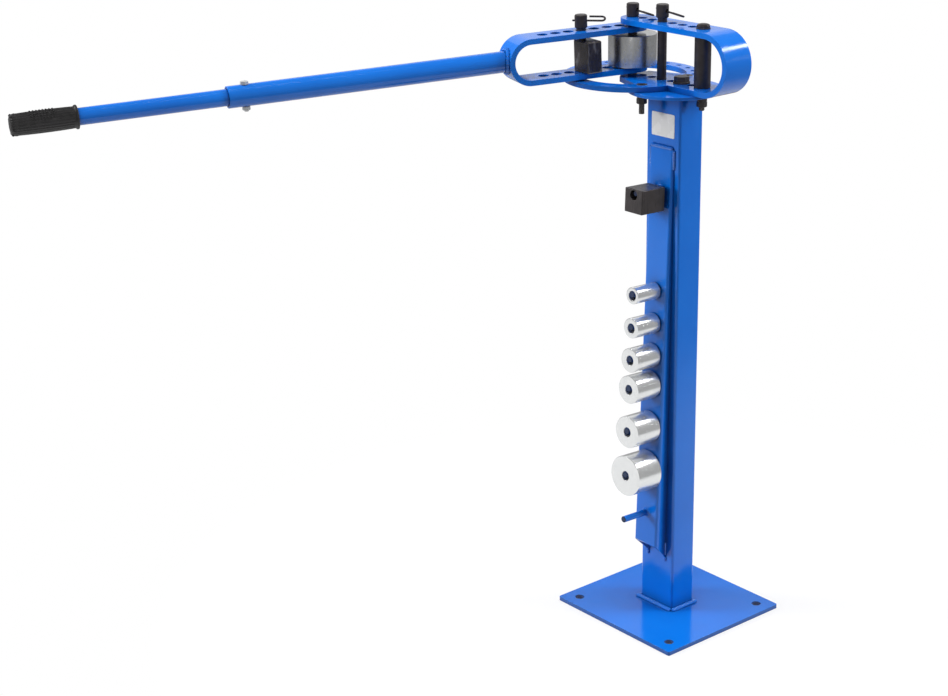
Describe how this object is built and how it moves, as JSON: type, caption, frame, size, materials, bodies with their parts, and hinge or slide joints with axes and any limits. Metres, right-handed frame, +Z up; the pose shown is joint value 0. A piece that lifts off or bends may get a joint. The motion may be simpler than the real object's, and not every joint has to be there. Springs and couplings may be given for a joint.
{
  "type": "universal metal bender",
  "caption": "Floor-standing manual bender: base plate and column with a pinned U-frame and stop ring, swing arm with long handle, centre die, forming block and a rack of spare dies.",
  "frame": {"origin": "on the floor under the column axis, in the underside of the base plate", "axes": "+Z up along the column; -Y is the side with the tool rack; the pivot pin is at -X and the bend of the fixed frame at +X"},
  "size_m": [0.4998, 0.962, 0.9234],
  "materials": {
    "blue_paint": "gloss",
    "black_oxide": "satin",
    "zinc_plate": "bright",
    "grip_rubber": "matt",
    "label_film": "gloss"
  },
  "bodies": {
    "stand": {"base_plate": "blue_paint", "column": "blue_paint", "foot_weld": "blue_paint", "head_flange": "blue_paint", "head_weld": "blue_paint", "stop_ring": "blue_paint", "fixed_frame": "blue_paint", "centre_bolt": "black_oxide", "centre_washer": "black_oxide", "centre_nut": "black_oxide", "flange_bolt_front": "black_oxide", "flange_bolt_back": "black_oxide", "flange_nut_front": "black_oxide", "flange_nut_back": "black_oxide", "post_bolt": "black_oxide", "post_washer": "black_oxide", "post_nut": "black_oxide", "tool_rack": "blue_paint", "rack_pegs": "blue_paint", "label_plate": "label_film"},
    "arm": {"swing_arm": "blue_paint", "arm_weld": "blue_paint", "handle_tube": "blue_paint", "handle_extension": "blue_paint", "handle_bolt": "zinc_plate", "handle_nut": "zinc_plate", "grip": "grip_rubber"},
    "pivot_pin_body": {"pivot_pin": "black_oxide"},
    "pivot_clip_body": {"pivot_clip": "black_oxide"},
    "stop_pin_body": {"stop_pin": "black_oxide"},
    "stop_clip_body": {"stop_clip": "black_oxide"},
    "block_pin_body": {"block_pin": "black_oxide"},
    "block_clip_body": {"block_clip": "black_oxide"},
    "centre_die_body": {"centre_die": "zinc_plate"},
    "forming_block_body": {"forming_block": "black_oxide"},
    "post_body": {"spacer_post": "black_oxide"},
    "spare_block_body": {"spare_block": "black_oxide"},
    "die_a_body": {"die_a": "zinc_plate"},
    "die_b_body": {"die_b": "zinc_plate"},
    "die_c_body": {"die_c": "zinc_plate"},
    "die_d_body": {"die_d": "zinc_plate"},
    "die_e_body": {"die_e": "zinc_plate"},
    "die_f_body": {"die_f": "zinc_plate"}
  },
  "joints": [
    {"name": "arm_swing", "type": "hinge", "parent": "stand", "child": "arm", "pos_m": [-0.088, 0, 0.85475], "axis": [0, 0, 1], "range_deg": [-220, 58]},
    {"name": "centre_die_spin", "type": "hinge", "parent": "stand", "child": "centre_die_body", "pos_m": [-0.088, 0, 0.852], "axis": [0, 0, 1], "continuous": true},
    {"name": "post_spin", "type": "hinge", "parent": "stand", "child": "post_body", "pos_m": [0.052, 0, 0.854], "axis": [0, 0, 1], "continuous": true},
    {"name": "block_swivel", "type": "hinge", "parent": "arm", "child": "forming_block_body", "pos_m": [-0.11269, -0.07599, 0.84984], "axis": [-0.0084, -0.0257, 0.9996], "continuous": true},
    {"name": "pivot_pin_lift", "type": "slide", "parent": "stand", "child": "pivot_pin_body", "axis": [0, 0, 1], "range_m": [0, 0.12]},
    {"name": "stop_pin_lift", "type": "slide", "parent": "stand", "child": "stop_pin_body", "axis": [0, 0, 1], "range_m": [0, 0.12]},
    {"name": "block_pin_lift", "type": "slide", "parent": "arm", "child": "block_pin_body", "axis": [-0.0084, -0.0257, 0.9996], "range_m": [0, 0.085]},
    {"name": "pivot_clip_flip", "type": "hinge", "parent": "pivot_pin_body", "child": "pivot_clip_body", "pos_m": [-0.088, 0, 0.90945], "axis": [0.989, 0.0692, -0.1305], "range_deg": [0, 150]},
    {"name": "stop_clip_flip", "type": "hinge", "parent": "stop_pin_body", "child": "stop_clip_body", "pos_m": [-0.028, 0, 0.91485], "axis": [0.989, 0.0692, -0.1305], "range_deg": [0, 150]},
    {"name": "block_clip_flip", "type": "hinge", "parent": "block_pin_body", "child": "block_clip_body", "pos_m": [-0.1131, -0.07726, 0.89927], "axis": [0.7069, 0.7073, -0.0108], "range_deg": [0, 60]},
    {"name": "die_a_slide", "type": "slide", "parent": "stand", "child": "die_a_body", "axis": [0, -0.9993, 0.0377], "range_m": [0, 0.06]},
    {"name": "die_b_slide", "type": "slide", "parent": "stand", "child": "die_b_body", "axis": [0, -0.9993, 0.0377], "range_m": [0, 0.06]},
    {"name": "die_c_slide", "type": "slide", "parent": "stand", "child": "die_c_body", "axis": [0, -0.9993, 0.0377], "range_m": [0, 0.06]},
    {"name": "die_d_slide", "type": "slide", "parent": "stand", "child": "die_d_body", "axis": [0, -0.9993, 0.0377], "range_m": [0, 0.06]},
    {"name": "die_e_slide", "type": "slide", "parent": "stand", "child": "die_e_body", "axis": [0, -0.9993, 0.0377], "range_m": [0, 0.06]},
    {"name": "die_f_slide", "type": "slide", "parent": "stand", "child": "die_f_body", "axis": [0, -0.9993, 0.0377], "range_m": [0, 0.06]},
    {"name": "spare_block_slide", "type": "slide", "parent": "stand", "child": "spare_block_body", "axis": [0, -0.9993, 0.0377], "range_m": [0, 0.06]}
  ]
}
